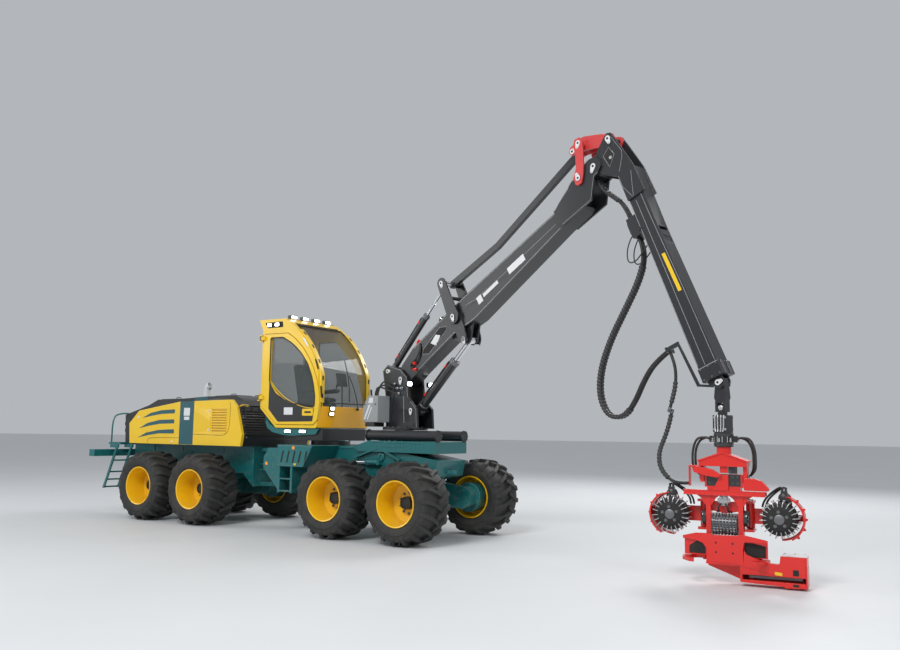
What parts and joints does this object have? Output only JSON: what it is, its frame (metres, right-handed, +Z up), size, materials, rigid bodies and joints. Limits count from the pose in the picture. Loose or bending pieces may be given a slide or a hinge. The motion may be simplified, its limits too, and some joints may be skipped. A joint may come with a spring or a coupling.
{
  "type": "forestry harvester",
  "caption": "Articulated forestry machine on eight lugged wheels with a cab, a folding knuckle crane and a hanging felling and delimbing head",
  "frame": {"origin": "on the ground under the middle of the bounding box without the free hoses", "axes": "+X forward over the front wheels, +Y to the machine's left, +Z up"},
  "size_m": [14.2412, 3.2569, 6.2175],
  "materials": {
    "frame_teal": "satin teal-green paint",
    "hood_yellow": "semi-gloss yellow paint",
    "black_shell": "satin black paint",
    "cab_pane": "tinted safety glass",
    "seat_cloth": "dark seat cover",
    "lamp_body": "black lamp bodies",
    "engine_iron": "painted engine block",
    "stack_silver": "bright metal",
    "wheel_parts": "black tyre on a yellow rim",
    "crane_grey": "satin charcoal paint",
    "cover_grey": "grey cover",
    "knee_red": "faded red paint",
    "head_red": "bright red paint",
    "cylinder_paint": "dark paint",
    "rod_chrome": "polished rod",
    "worn_steel": "worn dark steel",
    "hose_rubber": "black hose in ribbed sleeve"
  },
  "bodies": {
    "front": {"front_frame": "frame_teal", "front_axle": "frame_teal", "step_boxes": "frame_teal", "cab_base": "frame_teal", "cab_shell": "hood_yellow", "cab_glass": "cab_pane", "operator_seat": "seat_cloth", "work_lamps": "lamp_body", "slew_base": "crane_grey"},
    "door": {"cab_door": "black_shell", "door_glass": "cab_pane"},
    "rear": {"rear_frame": "frame_teal", "rear_axle": "frame_teal", "engine": "engine_iron", "hood_panels": "hood_yellow", "hood_top": "black_shell", "grille": "black_shell", "exhaust": "stack_silver", "rear_ladder": "frame_teal"},
    "crane_column": {"column": "crane_grey", "valve_cover": "cover_grey"},
    "boom": {"boom": "crane_grey"},
    "lever": {"lever": "crane_grey"},
    "strut": {"strut": "crane_grey"},
    "knee_links": {"knee_links": "knee_red"},
    "knee_arm": {"knee_arm": "knee_red"},
    "jib": {"jib": "crane_grey", "jib_hoses": "hose_rubber"},
    "extension": {"extension": "crane_grey", "head_hose_upper": "hose_rubber"},
    "lift_barrel": {"lift_barrel": "cylinder_paint"},
    "lift_rod": {"lift_rod": "rod_chrome"},
    "reach_barrel": {"reach_barrel": "cylinder_paint"},
    "reach_rod": {"reach_rod": "rod_chrome"},
    "tip_link": {"tip_link": "crane_grey"},
    "tip_fork": {"tip_fork": "crane_grey", "rotator": "crane_grey"},
    "head_yoke": {"head_yoke": "head_red", "head_hose_lower": "hose_rubber"},
    "head": {"head_frame": "head_red"},
    "middle_roller": {"middle_roller": "worn_steel"},
    "saw_bar": {"saw_bar": "worn_steel"},
    "steering_barrel_left": {"steering_barrel_left": "cylinder_paint"},
    "steering_rod_left": {"steering_rod_left": "rod_chrome"},
    "feed_arm_left": {"feed_arm_left": "head_red"},
    "feed_roller_left": {"feed_roller_left": "worn_steel"},
    "knife_left": {"knife_left": "worn_steel"},
    "steering_barrel_right": {"steering_barrel_right": "cylinder_paint"},
    "steering_rod_right": {"steering_rod_right": "rod_chrome"},
    "feed_arm_right": {"feed_arm_right": "head_red"},
    "feed_roller_right": {"feed_roller_right": "worn_steel"},
    "knife_right": {"knife_right": "worn_steel"},
    "wheel_front_1_left": {"wheel_front_1_left": "wheel_parts"},
    "wheel_front_1_right": {"wheel_front_1_right": "wheel_parts"},
    "wheel_front_2_left": {"wheel_front_2_left": "wheel_parts"},
    "wheel_front_2_right": {"wheel_front_2_right": "wheel_parts"},
    "wheel_rear_1_left": {"wheel_rear_1_left": "wheel_parts"},
    "wheel_rear_1_right": {"wheel_rear_1_right": "wheel_parts"},
    "wheel_rear_2_left": {"wheel_rear_2_left": "wheel_parts"},
    "wheel_rear_2_right": {"wheel_rear_2_right": "wheel_parts"}
  },
  "joints": [
    {"name": "frame_steer", "type": "hinge", "parent": "front", "child": "rear", "pos_m": [-2.19, 0.175, 1.085], "axis": [0, 0, 1], "range_deg": [-38, 38]},
    {"name": "steering_barrel_left_swing", "type": "hinge", "parent": "rear", "child": "steering_barrel_left", "pos_m": [-3.04, 0.445, 1.085], "axis": [0, 0, 1], "range_deg": [-2, 2]},
    {"name": "steering_rod_left_slide", "type": "slide", "parent": "steering_barrel_left", "child": "steering_rod_left", "axis": [0.9999, 0.0111, 0], "range_m": [-0.19, 0.19]},
    {"name": "steering_barrel_right_swing", "type": "hinge", "parent": "rear", "child": "steering_barrel_right", "pos_m": [-3.04, -0.095, 1.085], "axis": [0, 0, 1], "range_deg": [-2, 2]},
    {"name": "steering_rod_right_slide", "type": "slide", "parent": "steering_barrel_right", "child": "steering_rod_right", "axis": [0.9999, -0.0111, 0], "range_m": [-0.19, 0.19]},
    {"name": "wheel_front_1_left_roll", "type": "hinge", "parent": "front", "child": "wheel_front_1_left", "pos_m": [0.98, 1.273, 0.66917], "axis": [0, 1, 0], "continuous": true},
    {"name": "wheel_front_1_right_roll", "type": "hinge", "parent": "front", "child": "wheel_front_1_right", "pos_m": [0.98, -0.923, 0.66917], "axis": [0, 1, 0], "continuous": true},
    {"name": "wheel_front_2_left_roll", "type": "hinge", "parent": "front", "child": "wheel_front_2_left", "pos_m": [-0.52, 1.273, 0.66917], "axis": [0, 1, 0], "continuous": true},
    {"name": "wheel_front_2_right_roll", "type": "hinge", "parent": "front", "child": "wheel_front_2_right", "pos_m": [-0.52, -0.923, 0.66917], "axis": [0, 1, 0], "continuous": true},
    {"name": "wheel_rear_1_left_roll", "type": "hinge", "parent": "rear", "child": "wheel_rear_1_left", "pos_m": [-3.866, 1.273, 0.66917], "axis": [0, 1, 0], "continuous": true},
    {"name": "wheel_rear_1_right_roll", "type": "hinge", "parent": "rear", "child": "wheel_rear_1_right", "pos_m": [-3.866, -0.923, 0.66917], "axis": [0, 1, 0], "continuous": true},
    {"name": "wheel_rear_2_left_roll", "type": "hinge", "parent": "rear", "child": "wheel_rear_2_left", "pos_m": [-5.366, 1.273, 0.66917], "axis": [0, 1, 0], "continuous": true},
    {"name": "wheel_rear_2_right_roll", "type": "hinge", "parent": "rear", "child": "wheel_rear_2_right", "pos_m": [-5.366, -0.923, 0.66917], "axis": [0, 1, 0], "continuous": true},
    {"name": "cab_door_swing", "type": "hinge", "parent": "front", "child": "door", "pos_m": [-2.82, -0.577, 2.9], "axis": [0, 0, 1], "range_deg": [-85, 0]},
    {"name": "crane_slew", "type": "hinge", "parent": "front", "child": "crane_column", "pos_m": [0.092, 0.175, 1.83], "axis": [0, 0, 1], "range_deg": [-97, 123]},
    {"name": "boom_lift", "type": "hinge", "parent": "crane_column", "child": "boom", "pos_m": [0.17969, 0.15475, 2.72], "axis": [-0.225, -0.9744, 0], "range_deg": [-30, 30]},
    {"name": "jib_fold", "type": "hinge", "parent": "boom", "child": "jib", "pos_m": [4.30989, -0.79878, 5.6991], "axis": [0.225, 0.9744, 0], "range_deg": [-75, 45]},
    {"name": "lever_swing", "type": "hinge", "parent": "boom", "child": "lever", "pos_m": [1.48616, -0.14687, 3.72347], "axis": [0.225, 0.9744, 0], "range_deg": [-48.5, 29]},
    {"name": "strut_swing", "type": "hinge", "parent": "lever", "child": "strut", "pos_m": [1.18964, -0.07841, 4.31995], "axis": [-0.225, -0.9744, 0], "range_deg": [-48.5, 29]},
    {"name": "knee_links_swing", "type": "hinge", "parent": "boom", "child": "knee_links", "pos_m": [4.07235, -0.74394, 5.56077], "axis": [0.225, 0.9744, 0], "range_deg": [-60.5, 36.5]},
    {"name": "knee_arm_swing", "type": "hinge", "parent": "jib", "child": "knee_arm", "pos_m": [4.5498, -0.85416, 6.06527], "axis": [-0.225, -0.9744, 0], "range_deg": [-41.5, 25]},
    {"name": "lift_barrel_swing", "type": "hinge", "parent": "crane_column", "child": "lift_barrel", "pos_m": [0.46226, 0.08952, 2.173], "axis": [-0.225, -0.9744, 0], "range_deg": [-29, 29]},
    {"name": "lift_rod_slide", "type": "slide", "parent": "lift_barrel", "child": "lift_rod", "axis": [0.7153, -0.1651, 0.679], "range_m": [-0.33, 0.33]},
    {"name": "reach_barrel_swing", "type": "hinge", "parent": "crane_column", "child": "reach_barrel", "pos_m": [-0.20886, 0.15209, 2.877], "axis": [-0.225, -0.9744, 0], "range_deg": [-29, 29]},
    {"name": "reach_rod_slide", "type": "slide", "parent": "reach_barrel", "child": "reach_rod", "axis": [0.6821, -0.1575, 0.7141], "range_m": [-0.55, 0.33]},
    {"name": "jib_extend", "type": "slide", "parent": "jib", "child": "extension", "axis": [0.387, -0.0893, -0.9178], "range_m": [0, 1.8]},
    {"name": "tip_swing", "type": "hinge", "parent": "extension", "child": "tip_link", "pos_m": [6.15517, -1.22479, 2.49359], "axis": [-0.225, -0.9744, 0], "range_deg": [-30, 35]},
    {"name": "tip_rock", "type": "hinge", "parent": "tip_link", "child": "tip_fork", "pos_m": [6.15517, -1.22479, 2.172], "axis": [0.9744, -0.225, 0], "range_deg": [-25, 25]},
    {"name": "rotator_turn", "type": "hinge", "parent": "tip_fork", "child": "head_yoke", "pos_m": [6.16233, -1.22645, 1.681], "axis": [0, 0, 1], "continuous": true},
    {"name": "head_tilt", "type": "hinge", "parent": "head_yoke", "child": "head", "pos_m": [6.16233, -1.22645, 1.3], "axis": [0.9903, 0.1392, 0], "range_deg": [0, 100]},
    {"name": "middle_roller_turn", "type": "hinge", "parent": "head", "child": "middle_roller", "pos_m": [6.16233, -1.22645, 0.725], "axis": [0.9903, 0.1392, 0], "continuous": true},
    {"name": "feed_arm_left_close", "type": "hinge", "parent": "head", "child": "feed_arm_left", "pos_m": [5.86139, -1.09707, 0.83], "axis": [0, 0, 1], "range_deg": [0, 35]},
    {"name": "feed_roller_left_turn", "type": "hinge", "parent": "feed_arm_left", "child": "feed_roller_left", "pos_m": [5.5137, -1.3176, 0.825], "axis": [0.1392, -0.9903, 0], "continuous": true},
    {"name": "knife_left_close", "type": "hinge", "parent": "head", "child": "knife_left", "pos_m": [5.87113, -1.16639, 0.303], "axis": [0, 0, 1], "range_deg": [-15, 35]},
    {"name": "feed_arm_right_close", "type": "hinge", "parent": "head", "child": "feed_arm_right", "pos_m": [6.41594, -1.01913, 0.83], "axis": [0, 0, -1], "range_deg": [0, 35]},
    {"name": "feed_roller_right_turn", "type": "hinge", "parent": "feed_arm_right", "child": "feed_roller_right", "pos_m": [6.81095, -1.13529, 0.825], "axis": [0.1392, -0.9903, 0], "continuous": true},
    {"name": "knife_right_close", "type": "hinge", "parent": "head", "child": "knife_right", "pos_m": [6.42568, -1.08845, 0.303], "axis": [0, 0, -1], "range_deg": [-15, 35]},
    {"name": "saw_swing", "type": "hinge", "parent": "head", "child": "saw_bar", "pos_m": [6.45941, -1.18469, 0.115], "axis": [0, 0, -1], "range_deg": [0, 100]}
  ],
  "couplings": [
    {"joint": "steering_barrel_left_swing", "follows": "frame_steer", "ratio": -0.04},
    {"joint": "steering_rod_left_slide", "follows": "frame_steer", "m_per_rad": 0.2617},
    {"joint": "steering_barrel_right_swing", "follows": "frame_steer", "ratio": -0.04},
    {"joint": "steering_rod_right_slide", "follows": "frame_steer", "m_per_rad": -0.2617},
    {"joint": "lever_swing", "follows": "jib_fold", "ratio": 0.64},
    {"joint": "strut_swing", "follows": "jib_fold", "ratio": 0.64},
    {"joint": "knee_links_swing", "follows": "jib_fold", "ratio": 0.8},
    {"joint": "knee_arm_swing", "follows": "jib_fold", "ratio": 0.55},
    {"joint": "lift_barrel_swing", "follows": "boom_lift", "ratio": 0.93},
    {"joint": "lift_rod_slide", "follows": "boom_lift", "m_per_rad": 0.58},
    {"joint": "reach_barrel_swing", "follows": "boom_lift", "ratio": 0.93},
    {"joint": "reach_rod_slide", "follows": "jib_fold", "m_per_rad": 0.4}
  ]
}
